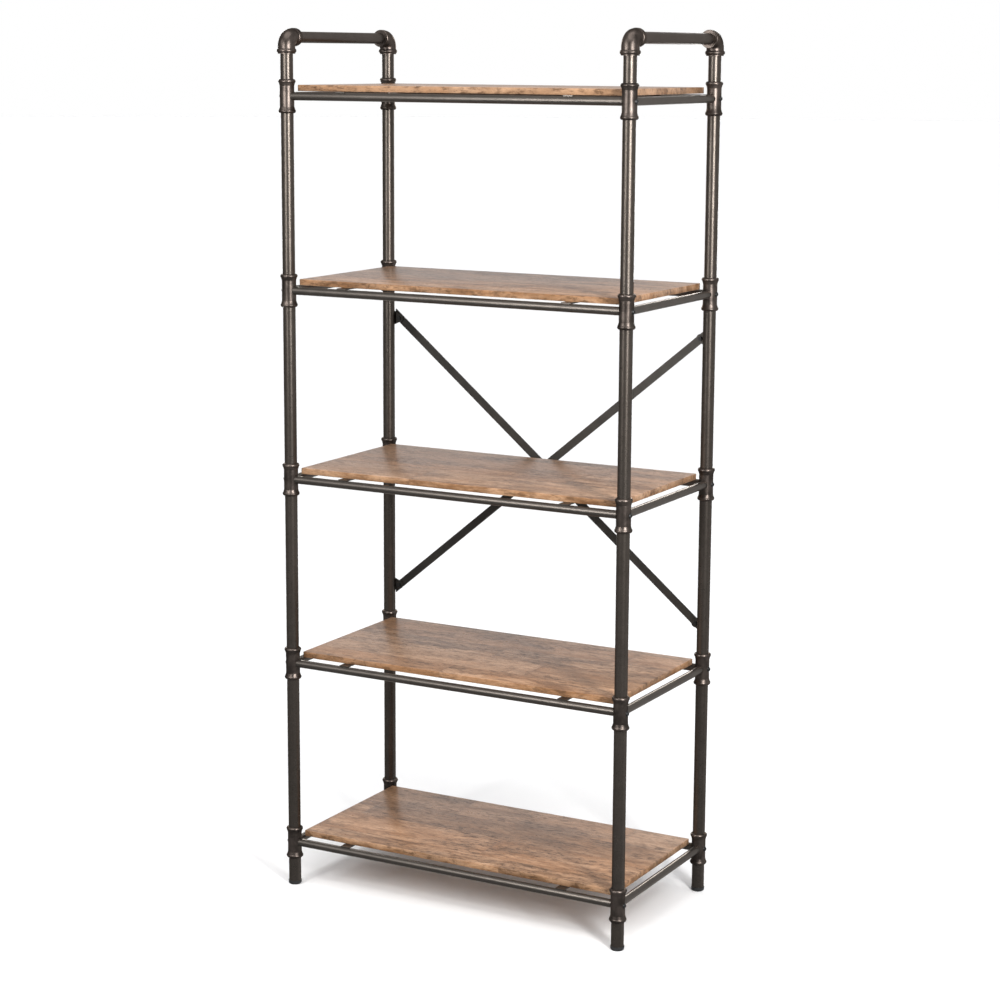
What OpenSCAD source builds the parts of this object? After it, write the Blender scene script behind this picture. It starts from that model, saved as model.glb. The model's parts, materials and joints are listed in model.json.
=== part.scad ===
// Open bookcase in the style of threaded pipework.
// Four tube posts carry five wooden shelves on bolted rails, with an X-brace across the back.
// Millimetres, +Z up. The origin is on the floor, midway between the four posts.
// The front faces -Y, the width runs along X, and level 1 is the lowest shelf.

/* [Overall] */
// Distance between the left and right post axes
post_spacing_x = 742; // [600:1:1000]
// Distance between the front and rear post axes
post_spacing_y = 376; // [300:1:500]
// Height of the lowest rails' axis above the floor
first_level_z = 90; // [70:1:160]
// Rise from one shelf level to the next
level_pitch = 380; // [300:1:460]
// Rise from the highest rails' axis to the top bar's axis
top_bar_rise = 113.5; // [90:0.5:160]

/* [Tubes] */
// Outer diameter of the posts
post_d = 25; // [20:0.1:30]
// Wall of the posts
post_wall = 1.5; // [1:0.1:2]
// Outer diameter of the rails round each shelf
rail_d = 16; // [13:0.1:20]
// Wall of the rails
rail_wall = 1.5; // [1.2:0.1:2]
// Outer diameter of the top bars
top_bar_d = 22; // [18:0.1:27]
// Wall of the top bars
top_bar_wall = 1.5; // [1:0.1:2]

/* [Couplings] */
// Wall of a coupling sleeve outside its post
sleeve_wall = 1.75; // [1.5:0.05:2.5]
// Height from a rail's axis to the middle of each bead ring
bead_offset = 28.7; // [24:0.1:36]
// How far a bead ring stands out from its sleeve
bead_proud = 2.85; // [2:0.05:4]
// Radius of a bead ring's rounded section
bead_r = 4.3; // [3.5:0.1:5]

/* [Elbows] */
// Wall of an elbow outside the thicker of its two tubes
elbow_wall = 4.5; // [3:0.1:6]
// Radius inside the bend
elbow_inner_r = 1; // [0.5:0.1:6]
// Depth of each socket, from the end of the bend to the mouth
elbow_socket = 14; // [12.5:0.5:20]
// How far the bead at the lower mouth stands out from the body
elbow_bead_proud = 2.25; // [1.5:0.05:3.5]
// Radius of that bead's rounded section
elbow_bead_r = 5; // [4:0.1:5.5]
// Height of the straight lip at the lower mouth, under the bead
elbow_lip = 1; // [0.5:0.1:2]
// How far the collar round the horizontal mouth stands out from the body
elbow_collar_proud = 0.75; // [0.25:0.05:2]
// Bevel on both edges of the collar
elbow_collar_bevel = 3; // [1:0.1:4]
// Width of the shoulder between the narrower socket and the passage
elbow_shoulder = 2.5; // [1:0.1:4]

/* [Shelves] */
// Gap in plan between the rails and the board's edges
board_gap = 7; // [5.5:0.5:20]
// Thickness of a board
board_t = 12; // [10:0.5:22]
// Radius of a board's upright corners
board_corner_r = 1.5; // [0.5:0.1:3]
// Distance from the middle of the shelf to each support bar
support_x = 247; // [150:1:280]
// Width of a support bar
support_w = 20; // [16:0.5:30]
// Thickness of a support bar
support_t = 2.5; // [2:0.1:3]
// Depth of the flat on a rail that a support bar is welded to
support_seat = 0.6; // [0.3:0.05:0.8]
// Side clearance of a support bar in its flat
support_gap = 0.2; // [0.1:0.05:0.5]

/* [Cross brace] */
// Width of a brace bar
brace_w = 16; // [12:0.5:20]
// Thickness of a brace bar and of the lugs
brace_t = 3; // [2:0.1:3.5]
// Height between a brace bolt and the rails above or below it
brace_drop = 90; // [75:1:120]
// Distance from a post's surface to the brace bolt
lug_offset = 8.5; // [7:0.5:14]
// Height of a lug where it is welded to the post
lug_h = 36; // [30:1:44]
// Margin of a lug's rounded tip outside the bar's half width
lug_margin = 1; // [0.5:0.1:3]
// Gap between a post and the end of a brace bar
brace_end_gap = 1.4; // [0.5:0.1:3]

/* [Feet] */
// How far a foot's rim stands out from the post
foot_proud = 1; // [0.5:0.1:2]
// Height of the rim below the post
foot_h = 8; // [6:0.5:12]
// Rounding of the rim's lower edge
foot_round = 4; // [2:0.1:5]
// Depth of the plug inside the post
foot_plug = 18; // [12:1:30]

/* [Fasteners] */
// Thread diameter of a rail bolt
rail_bolt_d = 6; // [5:0.5:8]
// Length of a rail bolt's thread inside its plug
rail_bolt_engage = 10.5; // [6:0.5:15]
// Head diameter of a rail bolt
rail_bolt_head_d = 10.5; // [9:0.1:13]
// Head height of a rail bolt
rail_bolt_head_h = 3.3; // [2.5:0.1:5]
// Depth of the flat cut in a sleeve under a bolt head
spot_depth = 1; // [0.8:0.1:1.4]
// Radial clearance round a bolt or its head
bolt_gap = 0.2; // [0.1:0.05:0.4]
// Length of the threaded plug in a rail's end
insert_len = 16; // [12:1:24]
// How far the plug sits back from the sleeve
insert_setback = 2; // [1:0.5:4]
// Thread diameter of the brace bolts
brace_bolt_d = 5; // [4:0.5:6]
// Head diameter of the brace bolts
brace_bolt_head_d = 9.5; // [8:0.1:12]
// Head height of the brace bolts and the centre screw
brace_bolt_head_h = 2.8; // [2:0.1:3.2]
// Width across the flats of a brace nut
brace_nut_af = 8; // [7:0.1:10]
// Height of a brace nut
brace_nut_h = 4; // [3:0.1:5]
// Diameter of the screw at the middle of the brace
centre_screw_d = 4.2; // [3.5:0.1:5]
// How far that screw reaches into the rail
centre_screw_reach = 6; // [4:0.5:8]
// Diameter of a shelf screw
board_screw_d = 3.4; // [3:0.1:4]
// Head diameter of a shelf screw
board_screw_head_d = 8; // [6:0.1:10]
// Head height of a shelf screw
board_screw_head_h = 2.4; // [1.8:0.1:3]
// How far a shelf screw reaches into the board
board_screw_reach = 9; // [6:0.5:9.5]
// Distance from a board's front or back edge to its screws
board_screw_inset = 45; // [30:1:80]

/* [Hidden] */
$fn = 64;
LEFT = -1;
RIGHT = 1;
FRONT = -1;
REAR = 1;
SIDES = [LEFT, RIGHT];
ROWS = [FRONT, REAR];
LEVELS = [1, 2, 3, 4, 5];
TOP_LEVEL = len(LEVELS);
// The brace runs between these two levels and is screwed to the rear rail midway
BRACE_LOW = 2;
BRACE_HIGH = 4;
BRACE_MID = (BRACE_LOW + BRACE_HIGH) / 2;
// A cutter runs this far past the face that it opens
cut = 1;

half_x = post_spacing_x / 2;
half_y = post_spacing_y / 2;
post_bore = post_d - 2 * post_wall;
rail_bore = rail_d - 2 * rail_wall;
sleeve_d = post_d + 2 * sleeve_wall;
bead_d = sleeve_d + 2 * bead_proud;
rail_bolt_len = sleeve_d - spot_depth + insert_setback + rail_bolt_engage;

elbow_d = max(post_d, top_bar_d) + 2 * elbow_wall;
elbow_bore = min(post_d, top_bar_d) - 2 * elbow_shoulder;
elbow_bead_d = elbow_d + 2 * elbow_bead_proud;
elbow_collar_d = elbow_d + 2 * elbow_collar_proud;
elbow_bend_r = elbow_d / 2 + elbow_inner_r;
elbow_leg = elbow_bend_r + elbow_socket;
top_bar_z = level_z(TOP_LEVEL) + top_bar_rise;
post_top_z = top_bar_z - elbow_bend_r;

// Heights above a rail's axis
support_z = rail_d / 2 - support_seat;
board_z = support_z + support_t;
board_x = post_spacing_x - rail_d - 2 * board_gap;
board_y = post_spacing_y - rail_d - 2 * board_gap;
board_screw_y = board_y / 2 - board_screw_inset;

// Distances along Y from the rear post axes
brace_b_y = rail_d / 2;
brace_a_y = brace_b_y + brace_t;
lug_reach = post_d / 2 + lug_offset;
brace_x = half_x - lug_reach;
brace_mid_z = (level_z(BRACE_LOW) + level_z(BRACE_HIGH)) / 2;
brace_rise = brace_mid_z - level_z(BRACE_LOW) - brace_drop;
brace_angle = atan2(brace_rise, brace_x);
post_half_chord = sqrt(max(0, pow(post_d / 2, 2) - pow(brace_b_y, 2)));
brace_end_x = half_x - post_half_chord - brace_end_gap;
lug_tip_r = brace_w / 2 + lug_margin;

// Shape of a button head: its rim and socket floor as shares of its height,
// and its crown and socket as shares of its diameter
HEAD_RIM = 0.35;
HEAD_SOCKET_FLOOR = 0.4;
HEAD_CROWN = 0.55;
HEAD_SOCKET = 0.38;

METAL = [0.29, 0.27, 0.25];
BOLT_BLACK = [0.10, 0.10, 0.10];
ZINC = [0.62, 0.63, 0.64];
WOOD = [0.62, 0.49, 0.40];
FOOT_BLACK = [0.06, 0.06, 0.06];

function level_z(level) = first_level_z + (level - 1) * level_pitch;
function side_name(side) = side == LEFT ? "left" : "right";
function row_name(row) = row == FRONT ? "front" : "rear";
function corner_name(piece, side, row) = str(piece, "_", side_name(side), "_", row_name(row));
function side_level_name(side, level) = str("side_rail_", side_name(side), "_", level);
function rail_name(row, level) = str(row_name(row), "_rail_", level);
// The brace bar that starts low on this side: bar b starts low on the left
function lug_y(side, low) = (side == LEFT) == low ? brace_b_y : brace_a_y;

// ---------- shared shapes ----------

// Cylinder along +X or +Y, starting at the origin
module along_x(d, length) rotate([0, 90, 0]) cylinder(d = d, h = length);
module along_y(d, length) rotate([-90, 0, 0]) cylinder(d = d, h = length);

module at_post(side, row) translate([side * half_x, row * half_y, 0]) children();

// Hexagonal socket or nut outline, by its width across the flats
module hexagon(across_flats, height) cylinder(d = across_flats / cos(30), h = height, $fn = 6);

// Button head with a hexagonal socket, standing on z = 0
module button_head(d, height) {
    rim = height * HEAD_RIM;
    difference() {
        union() {
            cylinder(d = d, h = rim);
            translate([0, 0, rim]) cylinder(d1 = d, d2 = d * HEAD_CROWN, h = height - rim);
        }
        translate([0, 0, height * HEAD_SOCKET_FLOOR]) hexagon(d * HEAD_SOCKET, height);
    }
}

// ---------- posts ----------

// Upright tube with a cross hole for the rail bolt at each level
module post(side, row) {
    color(METAL) at_post(side, row) difference() {
        translate([0, 0, foot_h]) cylinder(d = post_d, h = post_top_z - foot_h);
        translate([0, 0, foot_h - cut]) cylinder(d = post_bore, h = post_top_z - foot_h + 2 * cut);
        for (level = LEVELS) translate([-post_d, 0, level_z(level)])
            along_x(rail_bolt_d + 2 * bolt_gap, 2 * post_d);
    }
}

// Half section of a coupling: a sleeve that flares to a rounded bead ring at each end
module coupling_section() {
    bead_centre = bead_d / 2 - bead_r;
    flare_touch = bead_r * cos(45);
    flare_start = bead_offset - 2 * bead_r;
    difference() {
        union() {
            translate([0, -bead_offset]) square([sleeve_d / 2, 2 * bead_offset]);
            for (end = [-1, 1]) translate([bead_centre, end * bead_offset]) circle(r = bead_r);
            for (end = [-1, 1]) polygon([
                [post_d / 2, end * bead_offset],
                [bead_centre + flare_touch, end * (bead_offset - flare_touch)],
                [sleeve_d / 2, end * flare_start],
                [post_d / 2, end * flare_start]
            ]);
        }
        translate([-cut, -bead_offset - bead_r - cut])
            square([post_d / 2 + cut, 2 * (bead_offset + bead_r + cut)]);
    }
}

// Sleeves slipped over a post, one at each level, with a spot face under the outer bolt head
module couplings(side, row) {
    color(METAL) at_post(side, row) for (level = LEVELS) translate([0, 0, level_z(level)])
        difference() {
            rotate_extrude() coupling_section();
            translate([-sleeve_d, 0, 0]) along_x(rail_bolt_d + 2 * bolt_gap, 2 * sleeve_d);
            scale([side, 1, 1]) translate([sleeve_d / 2 - spot_depth, 0, 0])
                along_x(rail_bolt_head_d + 4 * bolt_gap, spot_depth + cut);
        }
}

// Foot: a rounded rim under the post and a plug inside it
module foot_cap(side, row) {
    rim_r = post_d / 2 + foot_proud;
    color(FOOT_BLACK) at_post(side, row) rotate_extrude() union() {
        square([rim_r - foot_round, foot_h]);
        translate([0, foot_round]) square([rim_r, foot_h - foot_round]);
        translate([rim_r - foot_round, foot_round]) circle(r = foot_round);
        square([post_bore / 2, foot_h + foot_plug]);
    }
}

// ---------- elbows and top bars ----------

// Quarter ring from a leg along -Z to a leg along +Y, with its corner at the origin
module quarter_bend(d) {
    translate([0, elbow_bend_r, -elbow_bend_r]) rotate([90, 0, -90]) rotate_extrude(angle = 90)
        translate([elbow_bend_r, 0]) circle(d = d);
}

// Elbow with a socket for the post below and one for the top bar along +Y
module elbow_body() {
    difference() {
        union() {
            quarter_bend(elbow_d);
            translate([0, 0, -elbow_leg]) cylinder(d = elbow_d, h = elbow_socket);
            translate([0, elbow_bend_r, 0]) along_y(elbow_d, elbow_socket);
            translate([0, 0, elbow_lip - elbow_leg]) rotate_extrude()
                translate([elbow_bead_d / 2 - elbow_bead_r, elbow_bead_r]) circle(r = elbow_bead_r);
            translate([0, elbow_bend_r, 0]) rotate([-90, 0, 0]) rotate_extrude() polygon([
                [0, 0],
                [elbow_collar_d / 2 - elbow_collar_bevel, 0],
                [elbow_collar_d / 2, elbow_collar_bevel],
                [elbow_collar_d / 2, elbow_socket - elbow_collar_bevel],
                [elbow_collar_d / 2 - elbow_collar_bevel, elbow_socket],
                [0, elbow_socket]
            ]);
        }
        quarter_bend(elbow_bore);
        translate([0, 0, -elbow_leg - cut]) cylinder(d = post_d, h = elbow_socket + cut);
        translate([0, elbow_bend_r, 0]) along_y(top_bar_d, elbow_socket + cut);
    }
}

module elbow(side, row) {
    color(METAL) at_post(side, row) translate([0, 0, top_bar_z]) scale([1, -row, 1]) elbow_body();
}

// Hand bar between the front and rear elbows of one side
module top_bar(side) {
    half = half_y - elbow_bend_r;
    color(METAL) translate([side * half_x, -half, top_bar_z]) difference() {
        along_y(top_bar_d, 2 * half);
        translate([0, -cut, 0]) along_y(top_bar_d - 2 * top_bar_wall, 2 * (half + cut));
    }
}

// ---------- rails ----------

// Room taken by the four sleeves of one level, which the rail ends are coped to
module sleeve_cutters() {
    for (side = SIDES) for (row = ROWS) at_post(side, row)
        cylinder(d = sleeve_d, h = 2 * rail_d, center = true);
}

// Side rail between the front and rear sleeves of one side
module side_rail(side, level) {
    color(METAL) translate([0, 0, level_z(level)]) difference() {
        translate([side * half_x, -half_y, 0]) along_y(rail_d, post_spacing_y);
        translate([side * half_x, -half_y - cut, 0]) along_y(rail_bore, post_spacing_y + 2 * cut);
        sleeve_cutters();
    }
}

// Front or rear rail, with a flat for each support bar and, midway up the brace, its screw hole
module cross_rail(row, level) {
    color(METAL) translate([0, 0, level_z(level)]) difference() {
        translate([-half_x, row * half_y, 0]) along_x(rail_d, post_spacing_x);
        translate([-half_x - cut, row * half_y, 0]) along_x(rail_bore, post_spacing_x + 2 * cut);
        sleeve_cutters();
        for (side = SIDES) translate([side * support_x, row * half_y, support_z + rail_d / 2])
            cube([support_w + 2 * support_gap, rail_d, rail_d], center = true);
        if (row == REAR && level == BRACE_MID) translate([0, half_y, 0])
            along_y(centre_screw_d, rail_d);
    }
}

// Threaded plugs pressed into the ends of the front and rear rails
module rail_inserts() {
    reach = sleeve_d / 2 + insert_setback;
    color(ZINC) for (level = LEVELS) for (side = SIDES) for (row = ROWS)
        at_post(side, row) translate([0, 0, level_z(level)]) scale([-side, 1, 1])
            translate([reach, 0, 0]) difference() {
                along_x(rail_bore, insert_len);
                translate([-cut, 0, 0]) along_x(rail_bolt_d, insert_len + 2 * cut);
            }
}

// Bolts through the outer side of each sleeve and post into the rail's threaded plug
module rail_bolts() {
    seat = sleeve_d / 2 - spot_depth;
    color(BOLT_BLACK) for (level = LEVELS) for (side = SIDES) for (row = ROWS)
        at_post(side, row) translate([0, 0, level_z(level)]) scale([side, 1, 1]) {
            translate([seat - rail_bolt_len, 0, 0]) along_x(rail_bolt_d, rail_bolt_len);
            translate([seat, 0, 0]) rotate([0, 90, 0])
                button_head(rail_bolt_head_d, rail_bolt_head_h);
        }
}

// ---------- shelves ----------

module at_board_screws(level) {
    for (side = SIDES) for (row = ROWS)
        translate([side * support_x, row * board_screw_y, level_z(level)]) children();
}

// Two flat bars across the rails, under the board
module support_bars(level) {
    overhang = sqrt(pow(rail_d / 2, 2) - pow(support_z, 2));
    color(METAL) difference() {
        for (side = SIDES)
            translate([side * support_x - support_w / 2, -half_y - overhang, level_z(level) + support_z])
                cube([support_w, post_spacing_y + 2 * overhang, support_t]);
        at_board_screws(level) translate([0, 0, support_z - cut])
            cylinder(d = board_screw_d + 2 * bolt_gap, h = support_t + 2 * cut);
    }
}

// Wooden board with blind pilot holes in its underside
module shelf_board(level) {
    flat_x = board_x - 2 * board_corner_r;
    flat_y = board_y - 2 * board_corner_r;
    color(WOOD) difference() {
        translate([0, 0, level_z(level) + board_z]) linear_extrude(board_t) union() {
            square([board_x, flat_y], center = true);
            square([flat_x, board_y], center = true);
            for (side = SIDES) for (row = ROWS)
                translate([side * flat_x / 2, row * flat_y / 2]) circle(r = board_corner_r);
        }
        at_board_screws(level) translate([0, 0, board_z - cut])
            cylinder(d = board_screw_d, h = board_screw_reach + cut);
    }
}

// Screws up through the support bars into the boards
module shelf_screws() {
    color(BOLT_BLACK) for (level = LEVELS) at_board_screws(level) {
        translate([0, 0, support_z])
            cylinder(d = board_screw_d, h = support_t + board_screw_reach);
        translate([0, 0, support_z]) mirror([0, 0, 1])
            button_head(board_screw_head_d, board_screw_head_h);
    }
}

// ---------- cross brace ----------

// Flat bar on a diagonal through the middle, cut upright at both ends, with its three holes
module brace_bar(angle, depth) {
    holes = [[-brace_x, brace_bolt_d], [0, centre_screw_d + 2 * bolt_gap], [brace_x, brace_bolt_d]];
    color(METAL) translate([0, half_y + depth, brace_mid_z]) difference() {
        intersection() {
            rotate([0, -angle, 0]) translate([-post_spacing_x, 0, -brace_w / 2])
                cube([2 * post_spacing_x, brace_t, brace_w]);
            translate([-brace_end_x, -cut, -level_pitch])
                cube([2 * brace_end_x, brace_t + 2 * cut, 2 * level_pitch]);
        }
        for (hole = holes) translate([hole[0], -cut, hole[0] * tan(angle)])
            along_y(hole[1], brace_t + 2 * cut);
    }
}

module brace_bar_a() brace_bar(-brace_angle, brace_a_y);
module brace_bar_b() brace_bar(brace_angle, brace_b_y);

// Puts its children at the brace bolt of each corner, on the front face of the bar
module at_brace_bolts() {
    for (side = SIDES) for (low = [true, false])
        translate([side * brace_x, half_y + lug_y(side, low), brace_mid_z + (low ? -1 : 1) * brace_rise])
            scale([side, 1, 1]) children();
}

// Lugs welded to the inner sides of the rear posts
module brace_lugs() {
    color(METAL) difference() {
        at_brace_bolts() rotate([90, 0, 0]) linear_extrude(brace_t) union() {
            circle(r = lug_tip_r);
            polygon([
                [0, -lug_tip_r],
                [lug_reach, -lug_h / 2],
                [lug_reach, lug_h / 2],
                [0, lug_tip_r]
            ]);
        }
        at_brace_bolts() translate([0, -brace_t - cut, 0]) along_y(brace_bolt_d, brace_t + 2 * cut);
        for (side = SIDES) at_post(side, REAR) cylinder(d = post_d, h = post_top_z);
    }
}

// Bolts from behind, through each bar and lug into a nut
module brace_bolts() {
    color(BOLT_BLACK) at_brace_bolts() {
        translate([0, -brace_t - brace_nut_h, 0]) along_y(brace_bolt_d, 2 * brace_t + brace_nut_h);
        translate([0, brace_t, 0]) rotate([-90, 0, 0])
            button_head(brace_bolt_head_d, brace_bolt_head_h);
    }
}

module brace_nuts() {
    color(BOLT_BLACK) at_brace_bolts() translate([0, -brace_t, 0]) rotate([90, 0, 0])
        difference() {
            hexagon(brace_nut_af, brace_nut_h);
            translate([0, 0, -cut]) cylinder(d = brace_bolt_d, h = brace_nut_h + 2 * cut);
        }
}

// Screw through both bars where they cross, into the rear rail
module brace_centre_screw() {
    back = half_y + brace_a_y + brace_t;
    length = brace_a_y + brace_t - brace_b_y + centre_screw_reach;
    color(BOLT_BLACK) translate([0, 0, brace_mid_z]) {
        translate([0, back - length, 0]) along_y(centre_screw_d, length);
        translate([0, back, 0]) rotate([-90, 0, 0])
            button_head(brace_bolt_head_d, brace_bolt_head_h);
    }
}

// ---------- assembly ----------

for (side = SIDES) for (row = ROWS) {
    post(side, row);
    couplings(side, row);
    elbow(side, row);
    foot_cap(side, row);
}
for (side = SIDES) {
    top_bar(side);
    for (level = LEVELS)
        side_rail(side, level);
}
for (level = LEVELS) {
    for (row = ROWS)
        cross_rail(row, level);
    support_bars(level);
    shelf_board(level);
}
rail_bolts();
rail_inserts();
shelf_screws();
brace_bar_a();
brace_bar_b();
brace_lugs();
brace_bolts();
brace_nuts();
brace_centre_screw();
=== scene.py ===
"""Looks of the open pipe-style bookcase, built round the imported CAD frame. Metres; the front faces -Y."""
import json
import math

import bmesh
import bpy
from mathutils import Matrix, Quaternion, Vector


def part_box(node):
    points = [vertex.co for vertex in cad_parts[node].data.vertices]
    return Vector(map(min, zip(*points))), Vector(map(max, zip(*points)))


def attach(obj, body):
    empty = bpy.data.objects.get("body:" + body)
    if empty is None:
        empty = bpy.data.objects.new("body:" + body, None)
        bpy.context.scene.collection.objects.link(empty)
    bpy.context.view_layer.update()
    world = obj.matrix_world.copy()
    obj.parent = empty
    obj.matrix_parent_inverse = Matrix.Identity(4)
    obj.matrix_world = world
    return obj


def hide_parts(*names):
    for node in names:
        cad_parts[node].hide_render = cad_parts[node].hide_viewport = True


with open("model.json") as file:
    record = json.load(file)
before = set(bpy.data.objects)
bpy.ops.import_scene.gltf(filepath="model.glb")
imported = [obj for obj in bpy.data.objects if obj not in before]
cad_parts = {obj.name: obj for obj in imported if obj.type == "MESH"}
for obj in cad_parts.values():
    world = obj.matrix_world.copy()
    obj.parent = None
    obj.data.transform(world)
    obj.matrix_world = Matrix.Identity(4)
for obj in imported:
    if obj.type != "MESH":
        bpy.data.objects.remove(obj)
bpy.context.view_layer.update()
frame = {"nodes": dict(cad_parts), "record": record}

NODES = frame["nodes"]
LEVELS = (1, 2, 3, 4, 5)

# ---------- camera ----------

# Where the eye is, which way it looks, its lens in millimetres and its vertical shift, fitted to the photo
EYE_AZIMUTH = math.radians(28.92)
EYE_DISTANCE = 4.62
EYE_HEIGHT = 1.693
LOOK_AZIMUTH = math.radians(28.87)
LOOK_DOWN = math.radians(10.06)
ROLL = math.radians(0.30)
LENS = 84.4
RISE = -0.03


def on_circle(azimuth, elevation=0.0):
    """Unit vector from the object towards an azimuth (0 is the front, 90 degrees the right) and elevation."""
    level = math.cos(elevation)
    return Vector((math.sin(azimuth) * level, -math.cos(azimuth) * level, math.sin(elevation)))


def make_camera():
    """The photo's viewing angle."""
    data = bpy.data.cameras.new("camera")
    data.lens = LENS
    data.shift_y = RISE
    camera = bpy.data.objects.new("camera", data)
    bpy.context.scene.collection.objects.link(camera)
    camera.location = on_circle(EYE_AZIMUTH) * EYE_DISTANCE + Vector((0, 0, EYE_HEIGHT))
    looking = -on_circle(LOOK_AZIMUTH, LOOK_DOWN)
    camera.rotation_mode = "QUATERNION"
    camera.rotation_quaternion = looking.to_track_quat("-Z", "Y") @ Quaternion((0, 0, 1), ROLL)
    bpy.context.scene.camera = camera


# ---------- studio ----------

# The pieces that mirror the glint strips
METAL_PIECES = bpy.data.collections.new("metal_pieces")
# Softboxes beside the eye and behind the object: azimuth in degrees, distance and heights in metres
RIGHT_BOX = {"azimuth": 54, "distance": 2.97, "bottom": 1.2, "top": 2.9}
LEFT_BOX = {"azimuth": -14, "distance": 2.43, "bottom": 1.2, "top": 2.45}
REAR_BOX = {"distance": 2.8, "bottom": 0.9, "top": 2.4, "width": 0.4, "brightness": 16}


def place_lamp(name, data, position, towards):
    """Puts a lamp at a position, shining along a direction and unseen by the camera."""
    lamp = bpy.data.objects.new(name, data)
    bpy.context.scene.collection.objects.link(lamp)
    lamp.location = position
    lamp.rotation_mode = "QUATERNION"
    lamp.rotation_quaternion = towards.to_track_quat("-Z", "Y")
    lamp.visible_camera = False
    return lamp


def make_sun(name, azimuth, elevation, strength, angle):
    """A soft, very distant lamp: angle is how wide it looks, so a wide one acts as a large softbox."""
    data = bpy.data.lights.new(name, "SUN")
    data.energy = strength
    data.angle = math.radians(angle)
    source = on_circle(math.radians(azimuth), math.radians(elevation))
    place_lamp(name, data, source, -source)


def make_strip(name, azimuth, distance, bottom, top, width, brightness, glint):
    """An upright strip softbox that faces the object. A glint strip shines in the metal alone, and any other
    lights everything but is not mirrored, so that no board turns white where it would mirror a lamp."""
    data = bpy.data.lights.new(name, "AREA")
    data.shape = "RECTANGLE"
    data.size = width
    data.size_y = top - bottom
    data.energy = brightness * math.pi * width * (top - bottom)
    out = on_circle(math.radians(azimuth))
    lamp = place_lamp(name, data, out * distance + Vector((0, 0, (top + bottom) / 2)), -out)
    lamp.visible_diffuse = not glint
    lamp.visible_glossy = glint
    if glint:
        lamp.light_linking.receiver_collection = METAL_PIECES


WHITE = (1.0, 1.0, 1.0)
COOL_WHITE = (0.97, 0.98, 1.0)
ROOM_FILL = 0.26
BACKDROP_FILL = 0.74
ROOM_END = -0.2
BACKDROP_START = 0.6
FLOOR_RADIUS = 60.0
FLOOR_SHADE = (0.9, 0.9, 0.9)
FLOOR_ROUGHNESS = 0.7


def make_world():
    """White for the eye. The pieces are lit by a dim room in front and a pale backdrop behind, which blend
    where a direction's Y goes from ROOM_END to BACKDROP_START."""
    world = bpy.data.worlds.new("studio")
    bpy.context.scene.world = world
    world.use_nodes = True
    tree = world.node_tree
    tree.nodes.clear()
    out = tree.nodes.new("ShaderNodeOutputWorld")
    seen = tree.nodes.new("ShaderNodeBackground")
    fill = tree.nodes.new("ShaderNodeBackground")
    mix = tree.nodes.new("ShaderNodeMixShader")
    path = tree.nodes.new("ShaderNodeLightPath")
    seen.inputs["Strength"].default_value = 1.0
    seen.inputs["Color"].default_value = (*WHITE, 1)
    fill.inputs["Color"].default_value = (*COOL_WHITE, 1)
    direction = tree.nodes.new("ShaderNodeTexCoord").outputs["Generated"]
    split = tree.nodes.new("ShaderNodeSeparateXYZ")
    tree.links.new(direction, split.inputs[0])
    backdrop = tree.nodes.new("ShaderNodeMapRange")
    backdrop.inputs["From Min"].default_value = ROOM_END
    backdrop.inputs["From Max"].default_value = BACKDROP_START
    backdrop.inputs["To Min"].default_value = ROOM_FILL
    backdrop.inputs["To Max"].default_value = BACKDROP_FILL
    tree.links.new(split.outputs["Y"], backdrop.inputs["Value"])
    tree.links.new(backdrop.outputs[0], fill.inputs["Strength"])
    tree.links.new(path.outputs["Is Camera Ray"], mix.inputs["Fac"])
    tree.links.new(fill.outputs[0], mix.inputs[1])
    tree.links.new(seen.outputs[0], mix.inputs[2])
    tree.links.new(mix.outputs[0], out.inputs["Surface"])


def make_floor():
    """A pale floor out to the horizon. It isn't mirrored, so the lower posts stay dark as in the photo."""
    mesh = bpy.data.meshes.new("floor")
    form = bmesh.new()
    bmesh.ops.create_circle(form, cap_ends=True, segments=96, radius=FLOOR_RADIUS)
    form.to_mesh(mesh)
    form.free()
    floor = bpy.data.objects.new("floor", mesh)
    bpy.context.scene.collection.objects.link(floor)
    floor.data.materials.append(floor_material())
    floor.visible_glossy = False


def make_studio():
    bpy.context.scene.view_settings.view_transform = "Standard"
    make_world()
    make_floor()
    make_sun("overhead", azimuth=20, elevation=72, strength=2.2, angle=60)
    make_sun("left_fill", azimuth=-38, elevation=25, strength=0.5, angle=32)
    make_strip("right_box", **RIGHT_BOX, width=0.45, brightness=46, glint=False)
    make_strip("left_box", **LEFT_BOX, width=0.32, brightness=22, glint=False)
    make_strip("right_glint", **RIGHT_BOX, width=0.55, brightness=80, glint=True)
    make_strip("left_glint", **LEFT_BOX, width=0.3, brightness=60, glint=True)
    make_strip("rear_right_glint", azimuth=189, **REAR_BOX, glint=True)
    make_strip("rear_left_glint", azimuth=229, **REAR_BOX, glint=True)


# ---------- node building ----------

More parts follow.
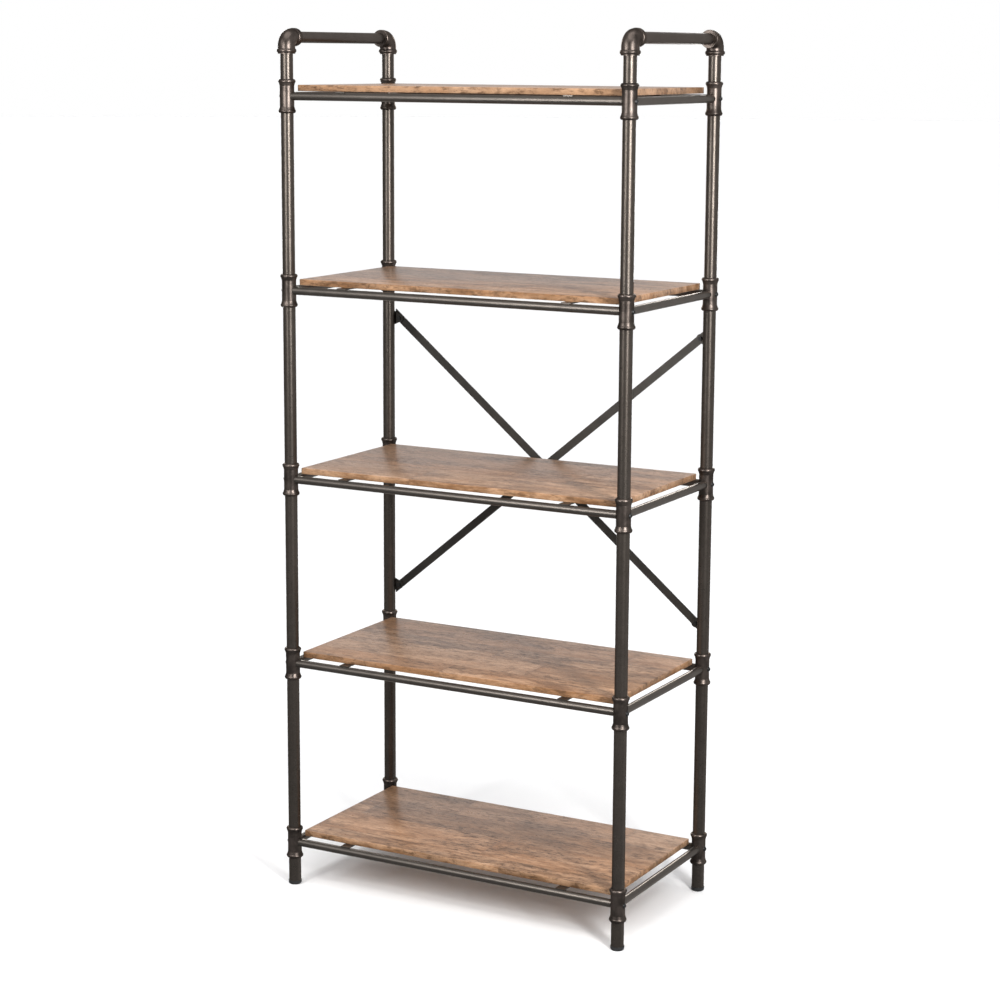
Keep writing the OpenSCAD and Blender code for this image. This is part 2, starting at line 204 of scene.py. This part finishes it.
class Pattern:
    """Adds nodes to one material and joins them, with object coordinates in metres as the place."""

    def __init__(self, name):
        self.material = bpy.data.materials.new(name)
        self.material.use_nodes = True
        self.tree = self.material.node_tree
        self.tree.nodes.clear()
        self.out = self.tree.nodes.new("ShaderNodeOutputMaterial")
        self.shader = self.tree.nodes.new("ShaderNodeBsdfPrincipled")
        self.tree.links.new(self.shader.outputs[0], self.out.inputs["Surface"])
        self.place = self.tree.nodes.new("ShaderNodeTexCoord").outputs["Object"]

    def give(self, socket, value):
        """Links a socket to an input, or sets the input to a plain value."""
        if isinstance(value, bpy.types.NodeSocket):
            self.tree.links.new(value, socket)
        else:
            socket.default_value = value

    def set(self, **values):
        """Shader inputs by name, with underscores for spaces: a plain value or a socket."""
        for name, value in values.items():
            self.give(self.shader.inputs[name.replace("_", " ")], value)

    def noise(self, scale, place=None, detail=4.0, rough=0.55, output="Fac"):
        """Noise that changes scale times in a metre. Its output is a number, Fac, or three of them, Color."""
        node = self.tree.nodes.new("ShaderNodeTexNoise")
        self.give(node.inputs["Vector"], place or self.place)
        node.inputs["Scale"].default_value = scale
        node.inputs["Detail"].default_value = detail
        node.inputs["Roughness"].default_value = rough
        return node.outputs[output]

    def grain(self, stretch, place, **look):
        """Noise that changes a different number of times in a metre along X, Y and Z."""
        node = self.tree.nodes.new("ShaderNodeMapping")
        self.give(node.inputs["Vector"], place)
        node.inputs["Scale"].default_value = stretch
        return self.noise(1.0, node.outputs[0], **look)

    def ramp(self, value, *stops):
        """Colours along a value; each stop is a position and a colour."""
        node = self.tree.nodes.new("ShaderNodeValToRGB")
        self.give(node.inputs["Fac"], value)
        points = node.color_ramp.elements
        while len(points) < len(stops):
            points.new(1.0)
        for point, (position, colour) in zip(points, stops):
            point.position = position
            point.color = (*colour, 1)
        return node.outputs["Color"]

    def mix(self, amount, first, second, how="MIX"):
        """Goes from the first colour to the second as the amount goes from 0 to 1."""
        node = self.tree.nodes.new("ShaderNodeMix")
        node.data_type = "RGBA"
        node.blend_type = how
        self.give(node.inputs["Factor"], amount)
        for socket, value in ((node.inputs[6], first), (node.inputs[7], second)):
            self.give(socket, (*value, 1) if isinstance(value, tuple) else value)
        return node.outputs[2]

    def maths(self, how, *values, kind="ShaderNodeMath"):
        """One operation on numbers, or on vectors with kind="ShaderNodeVectorMath"."""
        node = self.tree.nodes.new(kind)
        node.operation = how
        for socket, value in zip(node.inputs, values):
            self.give(socket, value)
        return node.outputs[0]

    def spread(self, value, low, high, to_low, to_high):
        """Maps low..high onto to_low..to_high, held at both ends."""
        node = self.tree.nodes.new("ShaderNodeMapRange")
        for name, number in (("From Min", low), ("From Max", high), ("To Min", to_low), ("To Max", to_high)):
            node.inputs[name].default_value = number
        self.give(node.inputs["Value"], value)
        return node.outputs[0]

    def parts(self, vector):
        """The three numbers of a vector or colour."""
        node = self.tree.nodes.new("ShaderNodeSeparateXYZ")
        self.give(node.inputs[0], vector)
        return node.outputs

    def joined(self, *numbers):
        """The reverse of parts."""
        node = self.tree.nodes.new("ShaderNodeCombineXYZ")
        for socket, value in zip(node.inputs, numbers):
            self.give(socket, value)
        return node.outputs[0]

    def cells(self, along, randomness):
        """One-dimensional cells along a value: a random colour for each, and the distance to its edge."""
        found = []
        for feature, output in (("F1", "Color"), ("DISTANCE_TO_EDGE", "Distance")):
            node = self.tree.nodes.new("ShaderNodeTexVoronoi")
            node.voronoi_dimensions = "1D"
            node.feature = feature
            node.inputs["Scale"].default_value = 1.0
            node.inputs["Randomness"].default_value = randomness
            self.give(node.inputs["W"], along)
            found.append(node.outputs[output])
        return found

    def bump(self, height, depth, strength):
        """A normal tilted by a height between 0 and 1 that stands for 0 to depth metres."""
        node = self.tree.nodes.new("ShaderNodeBump")
        node.inputs["Distance"].default_value = depth
        node.inputs["Strength"].default_value = strength
        self.give(node.inputs["Height"], height)
        return node.outputs[0]


def floor_material():
    p = Pattern("pale_floor")
    p.set(Base_Color=(*FLOOR_SHADE, 1), Roughness=FLOOR_ROUGHNESS)
    return p.material


# ---------- metal ----------

CLOUDS_PER_METRE = 38
WEAR_PER_METRE = 160
PEEL_PER_METRE = 300
PEEL_DEPTH = 0.00003
FLAKES_PER_METRE = 2600
FLAKE_BRIGHTNESS = 1.7
FLAKE_SHARE = 0.25

# Each enamel's darkest and lightest colour, roughness, half width of the cloud's blend, and tint at the rim
FRAME_LOOK = {
    "dark": (0.072, 0.061, 0.052), "light": (0.086, 0.073, 0.063),
    "roughness": 0.28, "mottle": 0.16, "rim": 0.3,
}
FITTING_LOOK = {
    "dark": (0.038, 0.031, 0.027), "light": (0.086, 0.070, 0.061),
    "roughness": 0.33, "mottle": 0.10, "rim": 0.35,
}
RAIL_LOOK = {
    "dark": (0.074, 0.065, 0.057), "light": (0.088, 0.077, 0.068),
    "roughness": 0.32, "mottle": 0.16, "rim": 0.8,
}
# The top bars get a paler copy of the enamel: its lighter colour is painted sheen, a painted reflection of
# the pale backdrop along the bars
TOP_BAR_PAINTED_SHEEN_LOOK = {
    "dark": (0.080, 0.068, 0.060), "light": (0.092, 0.078, 0.070),
    "roughness": 0.32, "mottle": 0.16, "rim": 0.5,
}
BRACE_LOOK = {
    "dark": (0.040, 0.037, 0.034), "light": (0.056, 0.052, 0.047),
    "roughness": 0.40, "mottle": 0.18, "rim": 0.3,
}


def enamel(name, dark, light, roughness, mottle, rim):
    """Satin metallic enamel: a cloudy colour, fine flake, and the faint orange peel of a sprayed coat."""
    p = Pattern(name)
    cloud = p.noise(CLOUDS_PER_METRE, detail=5, rough=0.6)
    flake = p.noise(FLAKES_PER_METRE, detail=1)
    flake_colour = tuple(shade * FLAKE_BRIGHTNESS for shade in light)
    colour = p.mix(p.spread(cloud, 0.5 - mottle, 0.5 + mottle, 0, 1), dark, light)
    colour = p.mix(p.spread(flake, 0.45, 0.75, 0, FLAKE_SHARE), colour, flake_colour)
    wear = p.noise(WEAR_PER_METRE, detail=6, rough=0.7)
    gloss = p.spread(wear, 0.3, 0.7, roughness - 0.015, roughness + 0.02)
    peel = p.noise(PEEL_PER_METRE, detail=2, rough=0.4)
    p.set(Base_Color=colour, Metallic=0.85, Roughness=gloss, IOR=1.5)
    p.set(Specular_Tint=(rim, rim * 0.95, rim * 0.9, 1), Normal=p.bump(peel, PEEL_DEPTH, 0.3))
    return p.material


def black_bolt_material():
    """Blackened steel, a little blotchy."""
    p = Pattern("blackened_bolt")
    colour = p.mix(p.spread(p.noise(500), 0.35, 0.65, 0, 1), (0.012, 0.012, 0.013), (0.03, 0.029, 0.028))
    p.set(Base_Color=colour, Metallic=0.7, Roughness=p.spread(p.noise(900, detail=3), 0.3, 0.7, 0.34, 0.5))
    p.set(Normal=p.bump(p.noise(1500, detail=2), 0.00004, 0.4))
    return p.material


def zinc_material():
    """Zinc-plated steel of the hidden threaded plugs."""
    p = Pattern("zinc_plug")
    colour = p.mix(p.noise(300), (0.42, 0.43, 0.45), (0.62, 0.62, 0.6))
    p.set(Base_Color=colour, Metallic=1.0, Roughness=p.spread(p.noise(700), 0.3, 0.7, 0.3, 0.5))
    return p.material


def foot_material():
    """Moulded black plastic with a fine spark-eroded grain."""
    p = Pattern("foot_plastic")
    colour = p.mix(p.noise(220), (0.008, 0.008, 0.009), (0.018, 0.018, 0.018))
    p.set(Base_Color=colour, Roughness=p.spread(p.noise(600), 0.3, 0.7, 0.42, 0.6), IOR=1.48)
    p.set(Normal=p.bump(p.noise(2400, detail=2), 0.00006, 0.5))
    return p.material


# ---------- wood ----------

PLANKS_PER_METRE = 11.0
LENGTHS_PER_METRE = 1.7
PLANK_RANDOMNESS = 0.8
SEAM_WIDTH = 0.016
# The boards are 0.38 m apart, so each one gets its own whole number of steps in height
BOARDS_PER_METRE = 2.63
# How far the pattern moves from board to board, from row to row and from plank to plank
BOARD_JUMP = 7.31
ROW_JUMP = 23.0
PLANK_JUMP = (9.0, 7.0)

# How many times each pattern changes in a metre along the board, across it and through it
STREAKS = (7, 44, 36)
CLOUDS = (6, 20, 14)
PATCHES = (11, 30, 22)
FLECKS = (48, 150, 120)
PORES = (60, 1300, 900)
SAW_MARKS = (330, 14, 40)
WANDER = (6, 14, 6)
WANDER_REACH = (0.03, 0.03, 0.02)

OAK_SHADES = (
    (0.35, (0.150, 0.068, 0.028)),
    (0.44, (0.255, 0.132, 0.064)),
    (0.52, (0.390, 0.224, 0.126)),
    (0.63, (0.530, 0.325, 0.200)),
)
DARK_PLANK = (0.235, 0.122, 0.060)
PALE_PLANK = (0.480, 0.300, 0.190)
ORANGE = (0.430, 0.205, 0.088)
GREY_CLOUD = (0.160, 0.092, 0.052)
DARK_FLECK = (0.090, 0.044, 0.020)
PORE = (0.105, 0.056, 0.031)
SAW_MARK = (0.105, 0.062, 0.037)
SEAM = (0.074, 0.038, 0.021)
EDGE_TINT = (0.92, 0.92, 0.90)
RELIEF = 0.00016


def planks(p):
    """Staggered planks on every board: three random numbers for each plank, and the distance to its edge."""
    x, y, z = p.parts(p.place)
    board = p.maths("MULTIPLY", p.maths("FLOOR", p.maths("MULTIPLY", z, BOARDS_PER_METRE)), BOARD_JUMP)
    row = p.maths("MULTIPLY_ADD", y, PLANKS_PER_METRE, board)
    row_colour, row_edge = p.cells(row, PLANK_RANDOMNESS)
    start = p.maths("MULTIPLY_ADD", p.parts(row_colour)[0], ROW_JUMP, board)
    length = p.maths("MULTIPLY_ADD", x, LENGTHS_PER_METRE, start)
    length_colour, length_edge = p.cells(length, PLANK_RANDOMNESS)
    own = p.parts(p.mix(0.4, row_colour, length_colour))
    return own, p.maths("MINIMUM", row_edge, length_edge)


def plank_places(p, own):
    """The place moved by a jump of each plank's own, so that no two share a grain, and the same made wavy."""
    along = p.maths("MULTIPLY", own[0], PLANK_JUMP[0])
    across = p.maths("MULTIPLY", own[1], PLANK_JUMP[1])
    jump = p.joined(along, across, own[2])
    straight = p.maths("ADD", p.place, jump, kind="ShaderNodeVectorMath")
    wander = p.grain(WANDER, straight, detail=3, output="Color")
    wavy = p.maths("MULTIPLY_ADD", wander, WANDER_REACH, straight, kind="ShaderNodeVectorMath")
    return straight, wavy


def plank_tones(p, colour, own):
    """Makes some planks darker, some paler and some more orange."""
    colour = p.mix(p.spread(own[0], 0.4, 0.7, 0, 0.6), colour, DARK_PLANK)
    colour = p.mix(p.spread(own[1], 0.45, 0.75, 0, 0.6), colour, PALE_PLANK)
    return p.mix(p.spread(own[2], 0.5, 0.75, 0, 0.3), colour, ORANGE)


def weathering(p, colour, straight, wavy, flecks):
    """Orange patches, grey clouds, dark flecks, pores, and saw marks where the clouds are."""
    patches = p.grain(PATCHES, wavy)
    clouds = p.grain(CLOUDS, straight, detail=5, rough=0.6)
    pores = p.grain(PORES, wavy, detail=2, rough=0.6)
    saw = p.grain(SAW_MARKS, p.place, detail=3, rough=0.6)
    clouded = p.spread(clouds, 0.46, 0.66, 0, 1)
    flecked = p.maths("MULTIPLY", p.spread(flecks, 0.49, 0.60, 0, 1), p.spread(clouds, 0.38, 0.6, 0.35, 1))
    sawn = p.maths("MULTIPLY", p.spread(saw, 0.52, 0.7, 0, 0.35), clouded)
    colour = p.mix(p.spread(patches, 0.55, 0.7, 0, 0.28), colour, ORANGE)
    colour = p.mix(p.maths("MULTIPLY", clouded, 0.62), colour, GREY_CLOUD)
    colour = p.mix(flecked, colour, DARK_FLECK)
    colour = p.mix(p.spread(pores, 0.55, 0.7, 0, 0.35), colour, PORE)
    return p.mix(sawn, colour, SAW_MARK)


def wood(name, tint, seam_depth):
    """Rustic oak print: staggered planks, each with its own tone and grain, with seams sunk between them."""
    p = Pattern(name)
    own, edge_distance = planks(p)
    straight, wavy = plank_places(p, own)
    streaks = p.grain(STREAKS, wavy, detail=8, rough=0.7)
    flecks = p.grain(FLECKS, wavy, detail=5, rough=0.78)
    seams = p.spread(edge_distance, 0, SEAM_WIDTH, 1, 0)

    colour = plank_tones(p, p.ramp(streaks, *OAK_SHADES), own)
    colour = weathering(p, colour, straight, wavy, flecks)
    colour = p.mix(p.maths("MULTIPLY", seams, 0.25), colour, SEAM)
    colour = p.mix(1.0, colour, tint, "MULTIPLY")
    relief = p.maths("MULTIPLY_ADD", seams, -seam_depth, flecks)
    p.set(Base_Color=colour, Roughness=p.spread(flecks, 0.35, 0.65, 0.26, 0.40), IOR=1.45)
    p.set(Normal=p.bump(relief, RELIEF, 0.4))
    return p.material


# ---------- boards ----------

EDGE_ROUNDING = 0.0009
# A face is a board's top or underside when its normal points up or down by more than this
UPRIGHT = 0.7


def make_board(level, top_wood, edge_wood):
    """A board with softly broken edges, a printed face above and below, and a banded rim."""
    low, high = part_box(f"shelf_board_{level}")
    mesh = bpy.data.meshes.new(f"board_{level}")
    form = bmesh.new()
    bmesh.ops.create_cube(form, size=1.0)
    size = high - low
    for vertex in form.verts:
        vertex.co = low + Vector((s * (c + 0.5) for s, c in zip(size, vertex.co)))
    edges = form.edges[:]
    bmesh.ops.bevel(form, geom=edges, offset=EDGE_ROUNDING, segments=3, profile=0.5, affect="EDGES")
    form.to_mesh(mesh)
    form.free()
    board = bpy.data.objects.new(f"board_{level}", mesh)
    bpy.context.scene.collection.objects.link(board)
    mesh.materials.append(top_wood)
    mesh.materials.append(edge_wood)
    for face in mesh.polygons:
        face.use_smooth = True
        face.material_index = 0 if abs(face.normal.z) > UPRIGHT else 1
    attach(board, "root")
    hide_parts(f"shelf_board_{level}")


# ---------- finish every piece ----------

def metal_finishes():
    """The material of each slot but the boards'."""
    return {
        "frame_metal": enamel("frame_enamel", **FRAME_LOOK),
        "fitting_metal": enamel("fitting_enamel", **FITTING_LOOK),
        "rail_metal": enamel("rail_enamel", **RAIL_LOOK),
        "brace_metal": enamel("brace_enamel", **BRACE_LOOK),
        "bolt_black": black_bolt_material(),
        "insert_steel": zinc_material(),
        "foot_plastic": foot_material(),
    }


def paint_nodes():
    """Gives every CAD piece but the boards its material, and lets it mirror the glint strips."""
    finishes = metal_finishes()
    # The top bars take the paler enamel copy, whose lighter colour is a painted reflection of the backdrop
    top_bar = enamel("top_bar_painted_sheen_enamel", **TOP_BAR_PAINTED_SHEEN_LOOK)
    for part in frame["record"]["subparts"]:
        name = part["node"]
        if part["material_slot"] not in finishes:
            continue
        METAL_PIECES.objects.link(NODES[name])
        for slot in NODES[name].material_slots:
            slot.material = top_bar if name.startswith("top_bar") else finishes[part["material_slot"]]


make_camera()
make_studio()
paint_nodes()
top_wood = wood("oak_print", tint=WHITE, seam_depth=1.5)
edge_wood = wood("oak_edge", tint=EDGE_TINT, seam_depth=0.5)
for shelf_level in LEVELS:
    make_board(shelf_level, top_wood, edge_wood)
